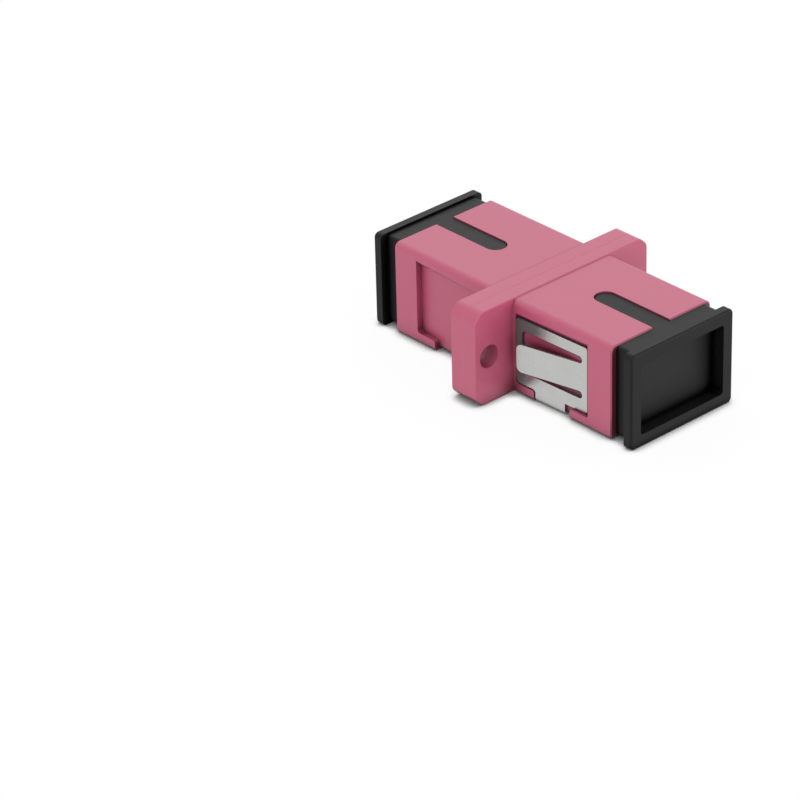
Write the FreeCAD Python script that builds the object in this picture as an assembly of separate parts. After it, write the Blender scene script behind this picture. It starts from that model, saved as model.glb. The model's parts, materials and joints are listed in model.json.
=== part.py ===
import FreeCAD, Part
import math
import os

# SC fibre adapter, one channel, with a screw flange, a snap-in panel clip and two dust caps.
# +X runs along the optical axis to the front port, +Y along the flange, +Z to the key slots.
# The origin is where the two ferrule tips meet: on the optical axis, at the weld of the housing.
# Millimetres throughout.

# Housing, made of two equal halves welded at the middle of the flange
body_width = 12.65
body_height = 9.4
half_length = 14.2
body_top_radius = 0.6
body_bottom_radius = 0.3
mouth_edge_chamfer = 0.12
flange_width = 22.0
flange_thickness = 3.2
flange_stand = 0.1          # flange above and below the body
flange_corner = 0.85        # cut off at 45 degrees, its ends blended
flange_corner_blend = 0.8
flange_edge_chamfer = 0.08
weld_groove = 0.03          # chamfer of each half at the weld line
screw_inset = 1.75          # hole centres from the ends of the flange
screw_hole_diameter = 2.3

# Ports and their key slots
port_width = 9.0
port_height = 7.4
port_corner_radius = 0.3
port_lead_in = 0.25
slot_width = 2.2
slot_length = 8.1           # from the mouth to the tip of the round end

# Seat in each side wall for the panel clip, deeper towards the mouth, open to a channel across
# the underside
seat_offset = 0.4           # from the flange to the seat
seat_length = 9.25
seat_top = 3.17             # above the axis, along the floor of the seat
seat_top_slope = 1.0        # rise of the top wall for each millimetre out from the floor
seat_bottom = 3.7           # below the axis
seat_radius = 0.25
seat_lip_radius = 0.3
channel_offset = 2.3        # from the start of the seat to the channel

# Pegs and sockets that line the halves up before welding
peg_diameter = 1.0
peg_length = 0.6
peg_height = 3.0            # above and below the axis
peg_clearance = 0.05

# Inner latch: sleeve holder, two hooked arms and the plate that clamps it at the weld
plate_thickness = 1.0
plate_width = 10.3
plate_height = 7.9
plate_clearance = 0.05
holder_wall = 0.7
holder_lip = 1.2            # past the end of the sleeve
holder_mouth_flare = 0.4
arm_length = 7.9
arm_thickness = 0.85
arm_width = 3.0
arm_gap = 7.0               # clear width between the two arms
arm_root_radius = 0.4
hook_reach = 0.6
hook_length = 1.6
hook_tip_flat = 0.3
hook_tip_radius = 0.2
arm_relief = 0.5            # room behind each arm to spring outwards

# Split sleeve that lines up the two ferrules
ferrule_diameter = 2.5
ferrule_entry_clearance = 0.2
sleeve_wall = 0.35
sleeve_length = 11.4
sleeve_slot = 0.5
sleeve_clearance = 0.05
sleeve_end_clearance = 0.1
sleeve_chamfer = 0.12

# Panel clip, folded from one strip of spring steel
sheet = 0.25
clip_clearance = 0.1        # to the lower lips of its seat
clip_gap_at_flange = 0.05
clip_gap_at_mouth = 0.35
clip_gap_at_top = 0.07
clip_gap_behind = 0.05      # to the floor of the seat
clip_web_drop = 0.07        # web below the underside of the body
clip_corner_radius = 0.4
clip_inset_at_flange = 0.02
clip_inset_at_mouth = 0.38
clip_band = 0.7             # upright strip next to the flange
finger_height = 2.85
finger_centre = -0.15
finger_slot = 0.75
finger_slot_margin = 0.7    # from the end of the slots to the edge of the sheet
finger_length = 6.45        # flat part, past the bend
finger_angle = 10.5         # degrees out of the clip's side
finger_bend_radius = 1.5
finger_corner_radius = 0.6
window_radius = 0.5
leg_width = 3.65
leg_gap = 0.85              # beside the leg, to the far side of the channel
fold_radius = 0.15
fold_clearance = 0.1        # inside of the fold to the rounded edge of the channel

# Dust cap, pushed into each port
cap_seat_gap = 0.03
neck_length = 1.7
neck_width = 11.4
neck_top = 4.58             # above the axis, as is the key
neck_bottom = 4.45          # below the axis
neck_radius = 0.4
rim_thickness = 0.95
rim_width = 12.95
rim_height = 9.6
rim_radius = 0.5
rim_edge_radius = 0.22      # under half of the corners' radius
grip_width = 10.5           # hollow in the outer face
grip_height = 7.1
grip_depth = 1.5
grip_radius = 0.3
plug_tip_clearance = 0.4    # to the hooked arms of the latch
plug_clearance = 0.05
plug_wall = 0.8
plug_lead_in = 0.3
key_side_clearance = 0.05
key_end_clearance = 0.15
key_root = 3.2              # height of the key's underside above the axis

same_place = 1e-5           # points nearer than this count as one

mouth = half_length
flange_face = flange_thickness / 2
body_side = body_width / 2
body_top = body_height / 2
screw_side = flange_width / 2 - screw_inset
plate_room_side = plate_width / 2 + plate_clearance
peg_side = (plate_room_side + screw_side - screw_hole_diameter / 2) / 2

seat_start = flange_face + seat_offset
seat_end = seat_start + seat_length
clip_start = seat_start + clip_gap_at_flange
clip_end = seat_end - clip_gap_at_mouth
clip_slope = (clip_inset_at_mouth - clip_inset_at_flange) / (clip_end - clip_start)
channel_start = seat_start + channel_offset
leg_start = channel_start + clip_clearance
leg_end = leg_start + leg_width
channel_end = leg_end + leg_gap
channel_roof = sheet - clip_web_drop - body_top
channel_edge_radius = fold_radius + fold_clearance

sleeve_outer_diameter = ferrule_diameter + 2 * sleeve_wall
sleeve_room_diameter = sleeve_outer_diameter + 2 * sleeve_clearance
sleeve_room_end = sleeve_length / 2 + sleeve_end_clearance
holder_length = sleeve_room_end + holder_lip
holder_mouth_diameter = ferrule_diameter + 2 * ferrule_entry_clearance


def place(axis, level, u, v):
    # Point of an outline that lies across the given axis.
    if axis == "x":
        return FreeCAD.Vector(level, u, v)
    if axis == "y":
        return FreeCAD.Vector(u, level, v)
    return FreeCAD.Vector(u, v, level)


def outline(corners, axis, level):
    # Closed wire through corners of (u, v, radius), each turned with an arc of its radius.
    arcs = []
    for index, (u, v, radius) in enumerate(corners):
        here = place(axis, level, u, v)
        before = place(axis, level, *corners[index - 1][:2])
        after = place(axis, level, *corners[(index + 1) % len(corners)][:2])
        back = (before - here).normalize()
        on = (after - here).normalize()
        half_angle = back.getAngle(on) / 2
        if radius == 0:
            arcs.append((here, here, here))
            continue
        reach = radius / math.tan(half_angle)
        bisector = (back + on).normalize()
        middle = here + bisector * (radius / math.sin(half_angle) - radius)
        arcs.append((here + back * reach, middle, here + on * reach))
    edges = []
    for index, (start, middle, end) in enumerate(arcs):
        if start != end:
            edges.append(Part.Arc(start, middle, end).toShape())
        following = arcs[(index + 1) % len(arcs)][0]
        if end.distanceToPoint(following) > same_place:
            edges.append(Part.LineSegment(end, following).toShape())
    return Part.Wire(edges)


def prism(corners, axis, start, end):
    # Solid with the given outline, swept along one axis.
    face = Part.Face(outline(corners, axis, start))
    return face.extrude(place(axis, end - start, 0, 0))


def rectangle(width, height, top_radius=0, bottom_radius=None, centre=(0, 0)):
    # Corners of a rectangle about its centre.
    if bottom_radius is None:
        bottom_radius = top_radius
    u, v = centre
    return [
        (u - width / 2, v - height / 2, bottom_radius),
        (u + width / 2, v - height / 2, bottom_radius),
        (u + width / 2, v + height / 2, top_radius),
        (u - width / 2, v + height / 2, top_radius),
    ]


def octagon(width, height, cut, blend):
    # Rectangle about the origin with its corners cut at 45 degrees and each cut blended in.
    u, v = width / 2, height / 2
    return [
        (-u + cut, -v, blend), (u - cut, -v, blend),
        (u, -v + cut, blend), (u, v - cut, blend),
        (u - cut, v, blend), (-u + cut, v, blend),
        (-u, v - cut, blend), (-u, -v + cut, blend),
    ]


def span(u0, u1, v0, v1, radius=0):
    # Corners of a rectangle given by its sides.
    return rectangle(u1 - u0, v1 - v0, radius, centre=((u0 + u1) / 2, (v0 + v1) / 2))


def rod(diameter, start, end, y=0, z=0):
    # Cylinder along X.
    base = FreeCAD.Vector(start, y, z)
    return Part.makeCylinder(diameter / 2, end - start, base, FreeCAD.Vector(1, 0, 0))


def cone(start_diameter, end_diameter, start, end):
    # Round taper along X, on the axis.
    base = FreeCAD.Vector(start, 0, 0)
    axis = FreeCAD.Vector(1, 0, 0)
    return Part.makeCone(start_diameter / 2, end_diameter / 2, end - start, base, axis)


def taper(start, start_corners, end, end_corners):
    # Solid along X whose section changes evenly from one outline to the other.
    wires = [outline(start_corners, "x", start), outline(end_corners, "x", end)]
    return Part.makeLoft(wires, True, True)


def edges_across_x(shape, level):
    # Edges that lie in the plane across X at this level.
    found = []
    for edge in shape.Edges:
        box = edge.BoundBox
        if abs(box.XMin - level) < same_place and abs(box.XMax - level) < same_place:
            found.append(edge)
    return found


def mirrored(shape):
    # The same shape on the other side wall.
    return shape.mirror(FreeCAD.Vector(0, 0, 0), FreeCAD.Vector(0, 1, 0))


def turned(shape):
    # The same piece at the other end of the adapter.
    copy = shape.copy()
    copy.rotate(FreeCAD.Vector(0, 0, 0), FreeCAD.Vector(0, 0, 1), 180)
    return copy


def key_bar(width, tip, end, bottom, top):
    # Upright-sided bar along X with a round end at its tip.
    radius = width / 2
    bar = prism(span(tip + radius, end, -radius, radius), "z", bottom, top)
    base = FreeCAD.Vector(tip + radius, 0, bottom)
    return bar.fuse(Part.makeCylinder(radius, top - bottom, base)).removeSplitter()


def seat_floor(x):
    # Half width left between the two seats, which lean in with the clip.
    lean = clip_inset_at_flange + clip_slope * (x - clip_start)
    return body_side - lean - sheet - clip_gap_behind


def core_section(x):
    # What stays of the body between the seats, down to the roof of the channel.
    return rectangle(2 * seat_floor(x), -2 * channel_roof, channel_edge_radius)


def seat_section(x):
    # The room between the slanted top walls of the two seats and everything below it.
    floor = seat_floor(x)
    top_outside = seat_top + seat_top_slope * (body_width - floor)
    return [
        (-body_width, -body_height, 0),
        (body_width, -body_height, 0),
        (body_width, top_outside, 0),
        (floor, seat_top, 0),
        (-floor, seat_top, 0),
        (-body_width, top_outside, 0),
    ]


def clip_seat():
    # Room for the clip: what its outline, swept across the body, clears around a tapered core.
    cleared = prism([
        (seat_start, -seat_bottom, seat_radius),
        (channel_start, -seat_bottom, seat_lip_radius),
        (channel_start, -body_height, 0),
        (channel_end, -body_height, 0),
        (channel_end, -seat_bottom, seat_lip_radius),
        (seat_end, -seat_bottom, seat_radius),
        (seat_end, body_top, 0),
        (seat_start, body_top, 0),
    ], "y", -body_width, body_width)
    core = taper(0, core_section(0), mouth, core_section(mouth))
    below_top = taper(seat_start, seat_section(seat_start), seat_end, seat_section(seat_end))
    return cleared.cut(core).common(below_top)


def housing_half():
    body = prism(rectangle(body_width, body_height, body_top_radius, body_bottom_radius),
                 "x", 0, half_length)
    body = body.makeChamfer(mouth_edge_chamfer, edges_across_x(body, half_length))

    flange_height = body_height + 2 * flange_stand
    flange = prism(octagon(flange_width, flange_height, flange_corner, flange_corner_blend),
                   "x", 0, flange_face)
    flange = flange.makeChamfer(flange_edge_chamfer, edges_across_x(flange, flange_face))
    flange = flange.makeChamfer(weld_groove, edges_across_x(flange, 0))
    shell = body.fuse(flange)

    port = prism(rectangle(port_width, port_height, port_corner_radius), "x",
                 plate_thickness, mouth)
    flare = taper(mouth - port_lead_in, rectangle(port_width, port_height, port_corner_radius),
                  mouth, rectangle(port_width + 2 * port_lead_in, port_height + 2 * port_lead_in,
                                   port_corner_radius))
    plate_room = prism(rectangle(2 * plate_room_side, plate_height + 2 * plate_clearance),
                       "x", 0, plate_thickness)
    relief = prism(rectangle(arm_gap + 2 * arm_thickness + 2 * arm_relief,
                             arm_width + 2 * arm_relief), "x",
                   plate_thickness, arm_length + arm_relief)
    slot = key_bar(slot_width, mouth - slot_length, mouth, 0, body_height)
    shell = shell.cut([port, flare, plate_room, relief, slot, clip_seat()])

    for side in (-1, 1):
        shell = shell.cut(rod(screw_hole_diameter, 0, flange_face, side * screw_side))
        socket = rod(peg_diameter + 2 * peg_clearance, 0, peg_length + peg_clearance,
                     -peg_side, side * peg_height)
        peg = rod(peg_diameter, -peg_length, 0, peg_side, side * peg_height)
        shell = shell.cut(socket).fuse(peg)
    return shell.removeSplitter()


def inner_latch():
    plate = prism(rectangle(plate_width, plate_height), "x", 0, plate_thickness)
    holder = rod(sleeve_room_diameter + 2 * holder_wall, 0, holder_length)
    latch = plate.fuse(holder)
    inside = arm_gap / 2
    outside = inside + arm_thickness
    hook = inside - hook_reach
    catch = arm_length - hook_length
    root = inside - arm_root_radius
    arm = prism([
        (0, root, 0),
        (0, outside, 0),
        (arm_length, outside, hook_tip_radius),
        (arm_length, inside, 0),
        (catch + hook_tip_flat, hook, 0),
        (catch, hook, 0),
        (catch, inside, 0),
        (plate_thickness, inside, arm_root_radius),
        (plate_thickness, root, 0),
    ], "z", -arm_width / 2, arm_width / 2)
    latch = latch.fuse([arm, mirrored(arm)])
    sleeve_room = rod(sleeve_room_diameter, 0, sleeve_room_end)
    aperture = rod(holder_mouth_diameter, 0, holder_length)
    flare = cone(holder_mouth_diameter, holder_mouth_diameter + 2 * holder_mouth_flare,
                 holder_length - holder_mouth_flare, holder_length)
    return latch.cut([sleeve_room, aperture, flare]).removeSplitter()


def alignment_sleeve():
    half = sleeve_length / 2
    tube = rod(sleeve_outer_diameter, -half, half)
    ends = edges_across_x(tube, half) + edges_across_x(tube, -half)
    tube = tube.makeChamfer(sleeve_chamfer, ends)
    gap = prism(span(-sleeve_slot / 2, sleeve_slot / 2, 0, sleeve_outer_diameter), "x",
                -half, half)
    return tube.cut([rod(ferrule_diameter, -half, half), gap])


def clip_side():
    # Sheet on one side wall, laid flat with its outer face at y = 0: a framed window with the
    # spring finger bent out of it, and a leg below that folds under the body.
    top = seat_top - clip_gap_at_top
    bottom = -seat_bottom + clip_clearance
    fold_height = channel_roof + fold_radius
    sheet_outline = [
        (clip_start, bottom, clip_corner_radius),
        (leg_start, bottom, seat_lip_radius + clip_clearance),
        (leg_start, fold_height, 0),
        (leg_end, fold_height, 0),
        (leg_end, bottom, 0),
        (clip_end, bottom, clip_corner_radius),
        (clip_end, top, clip_corner_radius),
        (clip_start, top, clip_corner_radius),
    ]
    finger_top = finger_centre + finger_height / 2
    finger_bottom = finger_centre - finger_height / 2
    slot_top = finger_top + finger_slot
    slot_bottom = finger_bottom - finger_slot
    slot_end = clip_end - finger_slot_margin
    bend = slot_end - finger_slot / 2
    tip = bend - finger_length
    window = [
        (clip_start + clip_band, slot_bottom, window_radius),
        (slot_end, slot_bottom, finger_slot / 2),
        (slot_end, finger_bottom, finger_slot / 2),
        (bend, finger_bottom, 0),
        (bend, finger_top, 0),
        (slot_end, finger_top, finger_slot / 2),
        (slot_end, slot_top, finger_slot / 2),
        (clip_start + clip_band, slot_top, window_radius),
    ]
    finger_outline = [
        (tip, finger_bottom, finger_corner_radius),
        (bend, finger_bottom, 0),
        (bend, finger_top, 0),
        (tip, finger_top, finger_corner_radius),
    ]
    wall = prism(sheet_outline, "y", 0, sheet).cut(prism(window, "y", 0, sheet))

    bend_centre = FreeCAD.Vector(bend, -finger_bend_radius, 0)
    upright = FreeCAD.Vector(0, 0, 1)
    root = Part.Face(outline(span(0, sheet, finger_bottom, finger_top), "x", bend))
    root = root.revolve(bend_centre, upright, finger_angle)
    finger = prism(finger_outline, "y", 0, sheet)
    finger.rotate(bend_centre, upright, finger_angle)

    fold_centre = FreeCAD.Vector(0, sheet + fold_radius, fold_height)
    fold = Part.Face(outline(span(leg_start, leg_end, 0, sheet), "z", fold_height))
    fold = fold.revolve(fold_centre, FreeCAD.Vector(1, 0, 0), 90)
    return wall.fuse([root, finger, fold])


def panel_clip():
    # Each side leans, further in at the mouth than at the flange, and a web joins the two.
    lean = FreeCAD.Placement(
        FreeCAD.Vector(0, clip_inset_at_flange - body_side, 0),
        FreeCAD.Rotation(FreeCAD.Vector(0, 0, 1), math.degrees(math.atan(clip_slope))),
        FreeCAD.Vector(clip_start, 0, 0),
    )
    side = clip_side()
    side.Placement = lean
    fold_edge = sheet + fold_radius
    near = lean.multVec(FreeCAD.Vector(leg_start, fold_edge, 0))
    far = lean.multVec(FreeCAD.Vector(leg_end, fold_edge, 0))
    web = prism([(near.x, near.y, 0), (far.x, far.y, 0), (far.x, -far.y, 0), (near.x, -near.y, 0)],
                "z", channel_roof - sheet, channel_roof)
    return web.fuse([side, mirrored(side)]).removeSplitter()


def dust_cap():
    seat = mouth + cap_seat_gap
    rim_start = seat + neck_length
    rim_end = rim_start + rim_thickness
    neck = prism(span(-neck_width / 2, neck_width / 2, -neck_bottom, neck_top, neck_radius), "x",
                 seat, rim_start)
    rim = prism(rectangle(rim_width, rim_height, rim_radius), "x", rim_start, rim_end)
    rim = rim.makeFillet(rim_edge_radius, edges_across_x(rim, rim_end))
    grip = prism(rectangle(grip_width, grip_height, grip_radius), "x",
                 rim_end - grip_depth, rim_end + rim_thickness)
    plug_width = port_width - 2 * plug_clearance
    plug_height = port_height - 2 * plug_clearance
    tip = arm_length + plug_tip_clearance
    plug = prism(rectangle(plug_width, plug_height, port_corner_radius), "x", tip, seat)
    plug = plug.makeChamfer(plug_lead_in, edges_across_x(plug, tip))
    key = key_bar(slot_width - 2 * key_side_clearance,
                  mouth - slot_length + key_end_clearance, seat, key_root, neck_top)
    hollow = prism(rectangle(plug_width - 2 * plug_wall, plug_height - 2 * plug_wall,
                             port_corner_radius), "x", tip, mouth)
    cap = neck.fuse([rim, plug, key])
    return cap.cut([grip, hollow]).removeSplitter()


os.makedirs("parts", exist_ok=True)
front_half = housing_half()
front_latch = inner_latch()
front_cap = dust_cap()
pieces = {
    "front_housing_half": front_half,
    "rear_housing_half": turned(front_half),
    "front_inner_latch": front_latch,
    "rear_inner_latch": turned(front_latch),
    "alignment_sleeve": alignment_sleeve(),
    "panel_clip": panel_clip(),
    "front_dust_cap": front_cap,
    "rear_dust_cap": turned(front_cap),
}
for name, shape in pieces.items():
    shape.exportStep("parts/" + name + ".step")
    print(name, len(shape.Solids), shape.isValid(), round(shape.Volume, 2))
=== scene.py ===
import bmesh
import bpy
import json
import math
from mathutils import Matrix, Vector


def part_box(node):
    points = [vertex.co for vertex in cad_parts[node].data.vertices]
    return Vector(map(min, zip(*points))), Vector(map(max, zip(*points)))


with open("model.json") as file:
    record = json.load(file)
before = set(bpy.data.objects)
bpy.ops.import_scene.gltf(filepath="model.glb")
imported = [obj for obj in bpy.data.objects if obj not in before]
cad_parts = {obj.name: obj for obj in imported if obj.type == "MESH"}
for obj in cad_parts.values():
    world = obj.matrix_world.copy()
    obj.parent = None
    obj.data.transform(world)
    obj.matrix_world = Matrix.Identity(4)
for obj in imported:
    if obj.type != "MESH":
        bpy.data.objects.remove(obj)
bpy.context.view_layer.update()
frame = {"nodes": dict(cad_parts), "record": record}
nodes = frame["nodes"]
record = frame["record"]
millimetre = 0.001
restLevel = min(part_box(name)[0].z for name in nodes)     # what the part lies on
mounts = {mount["name"]: mount for mount in record["mounts"]}
flangeFace = abs(mounts["flange_rear_face"]["pos_m"][0])  # either face, from the middle
screwHoles = mounts["flange_screws"]["dims"]
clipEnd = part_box("panel_clip")[1].x
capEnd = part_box("front_dust_cap")[1].x
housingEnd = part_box("front_housing_half")[1].x
shadeSamples = 6                # rays in each openness and rounded-edge node
print("frame loaded:", len(nodes), "nodes")


class Value:
    # a node's output that + - * work on, each adding its own Math node
    def __init__(self, finish, socket):
        self.finish = finish
        self.socket = socket

    def maths(self, operation, *values):
        return self.finish.node("ShaderNodeMath", {"operation": operation}, dict(enumerate(values)))

    def __add__(self, other):
        return self.maths("ADD", self, other)

    def __radd__(self, other):
        return self.maths("ADD", other, self)

    def __sub__(self, other):
        return self.maths("SUBTRACT", self, other)

    def __rsub__(self, other):
        return self.maths("SUBTRACT", other, self)

    def __mul__(self, other):
        return self.maths("MULTIPLY", self, other)

    def __rmul__(self, other):
        return self.maths("MULTIPLY", other, self)

    def absolute(self):
        return self.maths("ABSOLUTE", self)

    def root(self):
        return self.maths("SQRT", self)

    def larger(self, other):
        return self.maths("MAXIMUM", self, other)


class Finish:
    # the nodes of one material, or of the world
    def __init__(self, owner):
        self.owner = owner
        owner.use_nodes = True
        self.tree = owner.node_tree
        self.tree.nodes.clear()

    def node(self, kind, settings, inputs, output=0):
        made = self.tree.nodes.new(kind)
        for name, value in settings.items():
            setattr(made, name, value)
        for name, value in inputs.items():
            if isinstance(value, Value):
                self.tree.links.new(value.socket, made.inputs[name])
            else:
                made.inputs[name].default_value = value
        return Value(self, made.outputs[output]) if made.outputs else made

    def place(self):
        # where a point is on the part, in metres
        return self.node("ShaderNodeTexCoord", {}, {}, "Object")

    def coordinate(self, axis):
        # one coordinate of that place
        return self.node("ShaderNodeSeparateXYZ", {}, {0: self.place()}, axis)

    def stretched(self, scale):
        return self.node("ShaderNodeMapping", {}, {"Vector": self.place(), "Scale": scale})

    def noise(self, place, size, detail):
        # cloudy field from 0 to 1, its lumps about this size in metres
        return self.node("ShaderNodeTexNoise", {}, {
            "Vector": place, "Scale": 1 / size, "Detail": detail})

    def blend(self, factor, first, second):
        # colour between two, by a field, through the sockets that colours use
        return self.node("ShaderNodeMix", {"data_type": "RGBA"}, {0: factor, 6: first, 7: second}, 2)

    def ramp(self, value, low, high):
        # 0 below low, 1 above high, smooth in between
        return self.node("ShaderNodeMapRange", {"interpolation_type": "SMOOTHSTEP"},
                         {0: value, 1: low, 2: high})

    def openness(self, reach):
        # 1 in the open, towards 0 deep in a gap narrower than this
        return self.node("ShaderNodeAmbientOcclusion", {"samples": shadeSamples},
                         {"Distance": reach}, "AO")

    def rays(self):
        # 1 for what is looked at, straight or in a gloss or through glass, 0 for light on things
        straight, glossy, through = [self.node("ShaderNodeLightPath", {}, {}, kind) for kind in (
            "Is Camera Ray", "Is Glossy Ray", "Is Transmission Ray")]
        return straight.larger(glossy).larger(through)

    def rounded(self, edge):
        # surface normal with sharp edges rounded off by this radius
        return self.node("ShaderNodeBevel", {"samples": shadeSamples}, {"Radius": edge})

    def relief(self, height, depth, normal=None):
        # surface normal with fine relief
        inputs = {"Height": height, "Distance": depth}
        if normal:
            inputs["Normal"] = normal
        return self.node("ShaderNodeBump", {}, inputs)

    def surface(self, inputs):
        return self.node("ShaderNodeBsdfPrincipled", {}, inputs)

    def finish(self, kind, shader):
        self.node(kind, {}, {"Surface": shader})
        return self.owner


housingPlastic = {
    "colour": (0.458, 0.079, 0.151, 1),
    "deeper": (0.438, 0.074, 0.143, 1),
    # painted shade: darker colour in gaps, creases and corners, where shade falls
    "gap": (0.080, 0.012, 0.022, 1),
    "gapReach": 3 * millimetre,
    "gapOpen": (0.30, 0.62),    # openness at which the painted shade in a gap is darkest, and where it ends
    "portEdge": (0.15 * millimetre, 0.08 * millimetre),     # painted shade on the edge of a port, against its cap
    "portOpen": (0.6, 1.0),
    "weld": (0.05 * millimetre, 0.20 * millimetre),         # no painted shade in the weld's fine groove
    "line": (0.300, 0.040, 0.085, 1),                       # painted shade line where the flange meets the top
    "lineStart": (0.01 * millimetre, 0.02 * millimetre),    # from the flange's face
    "lineEnd": (0.10 * millimetre, 0.20 * millimetre),
    "lineTop": (3.9 * millimetre, 4.5 * millimetre),        # the height from which it shows
    "holeSoft": 0.01 * millimetre,                          # how gradual a hole's edge is
    "holeOpen": 0.6,            # how much less painted shade a screw hole gets than other gaps
    "paintedSeamLight": (0.54, 0.115, 0.20, 1),                         # painted light: paler colour in the weld's fine groove, offsetting its shade
    "seamWidth": (0.03 * millimetre, 0.06 * millimetre),
    "behindAlong": (3.0 * millimetre, 8.0 * millimetre),    # painted shade on the seat behind the clip's slots
    "behindEnd": (0.5 * millimetre, 0.3 * millimetre),      # back from the clip's end
    "behindOut": (5.3 * millimetre, 5.5 * millimetre),      # outwards from the port
    "behindHalf": (2.2 * millimetre, 2.5 * millimetre),     # half the height with painted shade
    "behindMiddle": -0.15 * millimetre,
    "behindLow": (-1.6 * millimetre, 0.0),                  # between the lower slot and the upper
    "behindUpper": 0.45,                                    # painted shade behind the upper slot
    "behindLower": 0.50,                                    # and this much more behind the lower
    "cloudSize": 5 * millimetre,
    "cloudDetail": 3,
    "grainSize": 0.07 * millimetre,
    "grainDetail": 2,
    "grainDepth": 0.003 * millimetre,
    "edge": 0.03 * millimetre,
    "roughness": 0.36,
    "roughnessSwing": 0.10,
    "gloss": 0.62,
}


def makeHousingPlastic():
    s = housingPlastic
    f = Finish(bpy.data.materials.new("rosePlastic"))
    cloud = f.noise(f.place(), s["cloudSize"], s["cloudDetail"])
    grain = f.noise(f.place(), s["grainSize"], s["grainDetail"])
    x = f.coordinate("X")
    y = f.coordinate("Y")
    z = f.coordinate("Z")
    fromMiddle = x.absolute()
    fromFlange = fromMiddle - flangeFace
    # painted shade: a dark line along the flange's foot on the top
    line = f.ramp(fromFlange, *s["lineStart"]) * (1 - f.ramp(fromFlange, *s["lineEnd"]))
    line = line * f.ramp(z, *s["lineTop"])
    across = y.absolute() - screwHoles["spacing_x_mm"] * millimetre / 2     # the holes lie along Y
    fromHole = (across * across + z * z).root()
    radius = screwHoles["hole_r_mm"] * millimetre
    hole = 1 - f.ramp(fromHole, radius, radius + s["holeSoft"])
    # painted light: paler colour in the weld's fine groove
    paintedSeamLight = (1 - f.ramp(fromMiddle, *s["seamWidth"])) * (1 - hole)
    plain = f.blend(cloud, s["colour"], s["deeper"])
    lined = f.blend(line, f.blend(paintedSeamLight, plain, s["paintedSeamLight"]), s["line"])
    # painted shade on the seat seen through the clip's slots, and the finger's shadow on it
    startBack, endBack = s["behindEnd"]
    paintedShadeBehind = f.ramp(x, *s["behindAlong"]) * (1 - f.ramp(x, clipEnd - startBack, clipEnd - endBack))
    paintedShadeBehind = paintedShadeBehind * f.ramp(y.absolute(), *s["behindOut"])
    paintedShadeBehind = paintedShadeBehind * (1 - f.ramp((z - s["behindMiddle"]).absolute(), *s["behindHalf"]))
    paintedShadeBehind = paintedShadeBehind * (s["behindUpper"] + s["behindLower"] * (1 - f.ramp(z, *s["behindLow"])))
    # painted shade in gaps, creases and at a port's edge against its cap
    openness = f.openness(s["gapReach"])
    startEdge, endEdge = s["portEdge"]
    portEdge = f.ramp(fromMiddle, housingEnd - startEdge, housingEnd - endEdge)
    portEdge = portEdge * (1 - f.ramp(openness, *s["portOpen"]))
    gap = portEdge.larger(1 - f.ramp(openness, *s["gapOpen"]))
    gap = gap * f.ramp(fromMiddle, *s["weld"]) * (1 - s["holeOpen"] * hole)
    return f.finish("ShaderNodeOutputMaterial", f.surface({
        "Base Color": f.blend(paintedShadeBehind.larger(gap), lined, s["gap"]),
        "Roughness": s["roughness"] + s["roughnessSwing"] * grain,
        "Normal": f.relief(grain, s["grainDepth"], f.rounded(s["edge"])),
        "Specular IOR Level": s["gloss"],
    }))


capPlastic = {
    "colour": (0.0040, 0.0040, 0.0041, 1),
    "worn": (0.0062, 0.0062, 0.0063, 1),
    "grip": (0.011, 0.011, 0.0115, 1),       # painted light: paler floor of the hollow in the outer face
    "gripDepth": 1.5 * millimetre,
    "gripBand": (0.02 * millimetre, 0.05 * millimetre),
    # painted shade: darker colour in gaps and creases of the cap
    "gap": (0.002, 0.002, 0.002, 1),
    "gapReach": 1.0 * millimetre,
    "gapOpen": (0.50, 0.90),
    "cloudSize": 2.2 * millimetre,
    "cloudDetail": 4,
    "grainSize": 0.09 * millimetre,
    "grainDetail": 2,
    "grainDepth": 0.004 * millimetre,
    "roughness": 0.42,
    "roughnessSwing": 0.08,
    "gloss": 0.20,
}


def makeCapPlastic():
    s = capPlastic
    f = Finish(bpy.data.materials.new("blackPlastic"))
    cloud = f.noise(f.place(), s["cloudSize"], s["cloudDetail"])
    grain = f.noise(f.place(), s["grainSize"], s["grainDetail"])
    # painted light on the floor of the hollow
    fromGrip = (f.coordinate("X").absolute() - (capEnd - s["gripDepth"])).absolute()
    grip = 1 - f.ramp(fromGrip, *s["gripBand"])
    # painted shade in gaps and creases
    gap = 1 - f.ramp(f.openness(s["gapReach"]), *s["gapOpen"])
    plain = f.blend(grip, f.blend(cloud, s["colour"], s["worn"]), s["grip"])
    return f.finish("ShaderNodeOutputMaterial", f.surface({
        "Base Color": f.blend(gap, plain, s["gap"]),
        "Metallic": gap,        # painted shade: metallic in gaps takes away the plastic's shine, so they stay dark; the plastic is no metal
        "Roughness": s["roughness"] + s["roughnessSwing"] * cloud,
        "Normal": f.relief(grain, s["grainDepth"]),
        "Specular IOR Level": s["gloss"],
    }))


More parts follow.
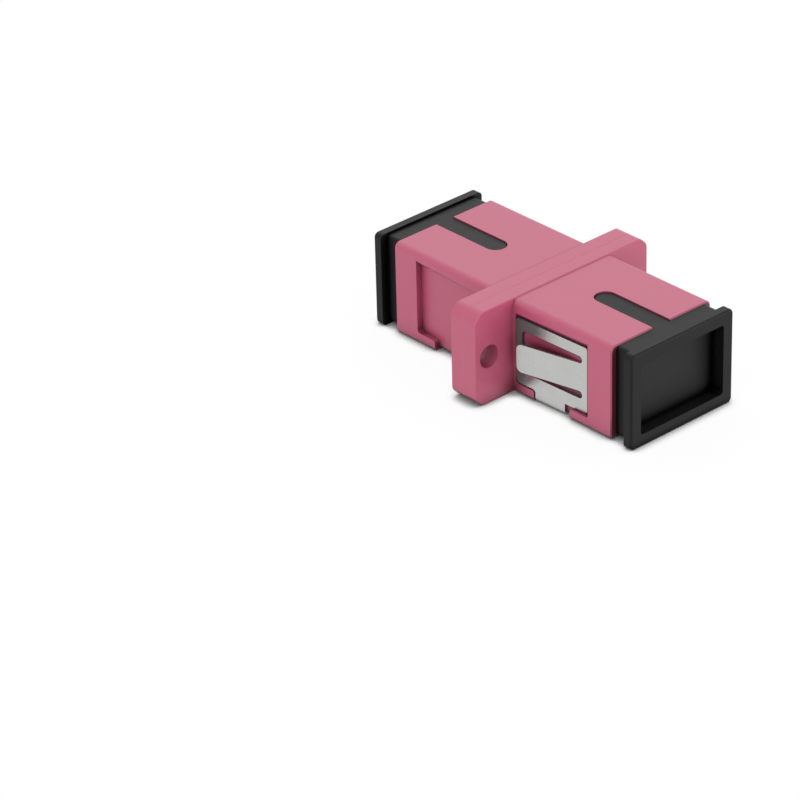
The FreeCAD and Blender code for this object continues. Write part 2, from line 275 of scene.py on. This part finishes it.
springSteel = {
    "colour": (0.545, 0.545, 0.535, 1),
    "darker": (0.485, 0.495, 0.485, 1),
    "cloudSize": 1.5 * millimetre,
    "cloudDetail": 3,
    "cloudMiddle": 0.5,
    "streakSize": 0.05 * millimetre,
    "streakDetail": 3,
    "streakStretch": 30,
    "streakDepth": 0.0003 * millimetre,
    "metallic": 1.0,
    "roughness": 0.21,
    "roughnessSwing": 0.10,
    # painted shade in the gaps around the sheet
    "gap": (0.10, 0.10, 0.10, 1),
    "gapReach": 0.3 * millimetre,
    "gapOpen": (0.0, 0.5),
    "paintedReflection": (0.200, 0.225, 0.220, 1),       # painted reflection: dark tone of the shaded flange at the end of the side walls by it
    "tintRoughness": 0.32,
    "tintLean": 0.37,                       # it reaches further from the flange higher up
    "tintDrift": 2.2 * millimetre,          # how far clouds move its border
    "tintBorder": (1.8 * millimetre, 3.4 * millimetre),    # from the flange's face
    "wallOut": (6.40 * millimetre, 6.50 * millimetre),     # past this the sheet is the finger
    "endLine": (0.15 * millimetre, 0.06 * millimetre),     # painted shade on the far end's edge, width and full
}


def makeSpringSteel():
    s = springSteel
    f = Finish(bpy.data.materials.new("springSteel"))
    cloud = f.noise(f.place(), s["cloudSize"], s["cloudDetail"])
    along = f.stretched((1, 1 / s["streakStretch"], 1 / s["streakStretch"]))
    streak = f.noise(along, s["streakSize"], s["streakDetail"])
    x = f.coordinate("X")
    # painted reflection of the shaded flange, near the flange
    fromFlange = x - flangeFace - s["tintLean"] * f.coordinate("Z")
    fromFlange = fromFlange + s["tintDrift"] * (cloud - s["cloudMiddle"])
    paintedReflection = 1 - f.ramp(fromFlange, *s["tintBorder"])
    paintedReflection = paintedReflection * (1 - f.ramp(f.coordinate("Y").absolute(), *s["wallOut"]))
    # painted shade on the far end's edge and in gaps
    wide, full = s["endLine"]
    end = f.ramp(x, clipEnd - wide, clipEnd - full)
    gap = end.larger(1 - f.ramp(f.openness(s["gapReach"]), *s["gapOpen"]))
    plain = f.blend(cloud, s["colour"], s["darker"])
    return f.finish("ShaderNodeOutputMaterial", f.surface({
        "Base Color": f.blend(gap, f.blend(paintedReflection, plain, s["paintedReflection"]), s["gap"]),
        "Metallic": s["metallic"],
        "Roughness": s["roughness"] + s["roughnessSwing"] * streak + s["tintRoughness"] * paintedReflection,
        "Normal": f.relief(streak, s["streakDepth"]),
    }))


latchPlastic = {
    "colour": (0.70, 0.66, 0.56, 1),
    "deeper": (0.64, 0.60, 0.50, 1),
    "cloudSize": 3 * millimetre,
    "cloudDetail": 3,
    "grainSize": 0.08 * millimetre,
    "grainDetail": 2,
    "grainDepth": 0.002 * millimetre,
    "edge": 0.05 * millimetre,
    "roughness": 0.36,
    "roughnessSwing": 0.08,
}


def makeLatchPlastic():
    s = latchPlastic
    f = Finish(bpy.data.materials.new("naturalPlastic"))
    cloud = f.noise(f.place(), s["cloudSize"], s["cloudDetail"])
    grain = f.noise(f.place(), s["grainSize"], s["grainDetail"])
    return f.finish("ShaderNodeOutputMaterial", f.surface({
        "Base Color": f.blend(cloud, s["colour"], s["deeper"]),
        "Roughness": s["roughness"] + s["roughnessSwing"] * grain,
        "Normal": f.relief(grain, s["grainDepth"], f.rounded(s["edge"])),
    }))


zirconia = {
    "colour": (0.80, 0.79, 0.75, 1),
    "deeper": (0.76, 0.75, 0.70, 1),
    "cloudSize": 1 * millimetre,
    "cloudDetail": 2,
    "grainSize": 0.03 * millimetre,
    "grainDetail": 2,
    "grainDepth": 0.0004 * millimetre,
    "edge": 0.03 * millimetre,
    "roughness": 0.10,
    "roughnessSwing": 0.05,
    "refraction": 2.15,
}


def makeZirconia():
    s = zirconia
    f = Finish(bpy.data.materials.new("zirconia"))
    cloud = f.noise(f.place(), s["cloudSize"], s["cloudDetail"])
    grain = f.noise(f.place(), s["grainSize"], s["grainDetail"])
    return f.finish("ShaderNodeOutputMaterial", f.surface({
        "Base Color": f.blend(cloud, s["colour"], s["deeper"]),
        "Roughness": s["roughness"] + s["roughnessSwing"] * cloud,
        "Normal": f.relief(grain, s["grainDepth"], f.rounded(s["edge"])),
        "IOR": s["refraction"],
    }))


finishes = {                    # by the record's material slots
    "housing_plastic": makeHousingPlastic(),
    "latch_plastic": makeLatchPlastic(),
    "zirconia": makeZirconia(),
    "spring_steel": makeSpringSteel(),
    "cap_plastic": makeCapPlastic(),
}
for part in record["subparts"]:
    nodes[part["node"]].material_slots[0].material = finishes[part["material_slot"]]
print("finishes on", len(nodes), "nodes")


studio = {
    "floorHalf": 0.8,
    "floorColour": (0.95, 0.95, 0.95, 1),
    "floorRoughness": 0.8,
    "floorLift": 0.93,          # share of plain white that is seen in the open floor
    "contactReach": 1.3 * millimetre,
    # painted shadow: darker paper where the part meets the floor
    "paintedContactShadow": (0.48, 0.48, 0.48, 1),
    "contact": (0.5, 0.84),     # openness from which, and by which, the floor is lifted and the painted shadow fades
    "skyColour": (1.0, 1.0, 1.0, 1),
    "skyStrength": 0.88,
    "white": (1.0, 1.0, 1.0, 1),
    "whiteStrength": 1.0,
}

lamps = {                       # azimuth and elevation in degrees, metres away, metres across, watts
    "keyLight": (30, 45, 0.40, 0.25, 0.22),
    "backLight": (-115, 34, 0.45, 0.60, 0.60),
    "lowLight": (65, 4, 0.40, 0.12, 0.22),
    "farLight": (125, 12, 0.40, 0.20, 0.42),
}

view = {                        # degrees, metres, and millimetres for lens and sensor
    "azimuth": 48.39,
    "elevation": 29.74,
    "roll": -1.58,
    "distance": 0.37137,
    "lens": 182.0,
    "sensor": 36.0,
    "nearest": 0.01,
    "aim": (-0.00658, -0.01290, -0.00639),
}


def direction(azimuth, elevation):
    # unit vector from the part, azimuth 0 in front of the -Y side and 90 in front of the +X end
    around = math.radians(azimuth)
    up = math.radians(elevation)
    return Vector((math.sin(around) * math.cos(up), -math.cos(around) * math.cos(up), math.sin(up)))


def makeFloor():
    s = studio
    mesh = bpy.data.meshes.new("floor")
    shape = bmesh.new()
    bmesh.ops.create_grid(shape, x_segments=1, y_segments=1, size=s["floorHalf"])
    bmesh.ops.translate(shape, verts=shape.verts, vec=(0, 0, restLevel))
    shape.to_mesh(mesh)
    shape.free()
    floor = bpy.data.objects.new("floor", mesh)
    bpy.context.scene.collection.objects.link(floor)
    f = Finish(bpy.data.materials.new("paperFloor"))
    # painted shadow where the part meets the floor; away from it the white lift shows
    free = f.ramp(f.openness(s["contactReach"]), *s["contact"])
    paper = f.surface({
        "Base Color": f.blend(free, s["paintedContactShadow"], s["floorColour"]),
        "Roughness": s["floorRoughness"],
    })
    white = f.node("ShaderNodeEmission", {}, {"Color": s["white"], "Strength": s["whiteStrength"]})
    mixed = f.node("ShaderNodeMixShader", {}, {
        0: f.rays() * free * s["floorLift"], 1: paper, 2: white})
    mesh.materials.append(f.finish("ShaderNodeOutputMaterial", mixed))


def makeSky():
    s = studio
    world = bpy.data.worlds.new("studioSky")
    f = Finish(world)
    sky = f.node("ShaderNodeBackground", {}, {"Color": s["skyColour"], "Strength": s["skyStrength"]})
    white = f.node("ShaderNodeBackground", {}, {"Color": s["white"], "Strength": s["whiteStrength"]})
    mixed = f.node("ShaderNodeMixShader", {}, {0: f.rays(), 1: sky, 2: white})
    bpy.context.scene.world = f.finish("ShaderNodeOutputWorld", mixed)


def makeLamps():
    for name, (azimuth, elevation, away, across, watts) in lamps.items():
        data = bpy.data.lights.new(name, "AREA")
        data.size = across
        data.energy = watts
        lamp = bpy.data.objects.new(name, data)
        toward = direction(azimuth, elevation)
        lamp.location = toward * away
        lamp.rotation_euler = toward.to_track_quat("Z", "Y").to_euler()
        bpy.context.scene.collection.objects.link(lamp)


def makeCamera():
    s = view
    data = bpy.data.cameras.new("camera")
    data.lens = s["lens"]
    data.sensor_width = s["sensor"]
    data.clip_start = s["nearest"]
    camera = bpy.data.objects.new("camera", data)
    back = direction(s["azimuth"], s["elevation"])
    level = Vector((0, 0, 1)).cross(back).normalized()
    upright = back.cross(level)
    turn = Matrix((level, upright, back)).transposed().to_4x4()
    turn = turn @ Matrix.Rotation(math.radians(s["roll"]), 4, "Z")
    camera.matrix_world = Matrix.Translation(Vector(s["aim"]) + back * s["distance"]) @ turn
    bpy.context.scene.collection.objects.link(camera)
    bpy.context.scene.camera = camera


makeFloor()
makeSky()
makeLamps()
makeCamera()
bpy.context.scene.view_settings.view_transform = "Standard"
print("studio ready")
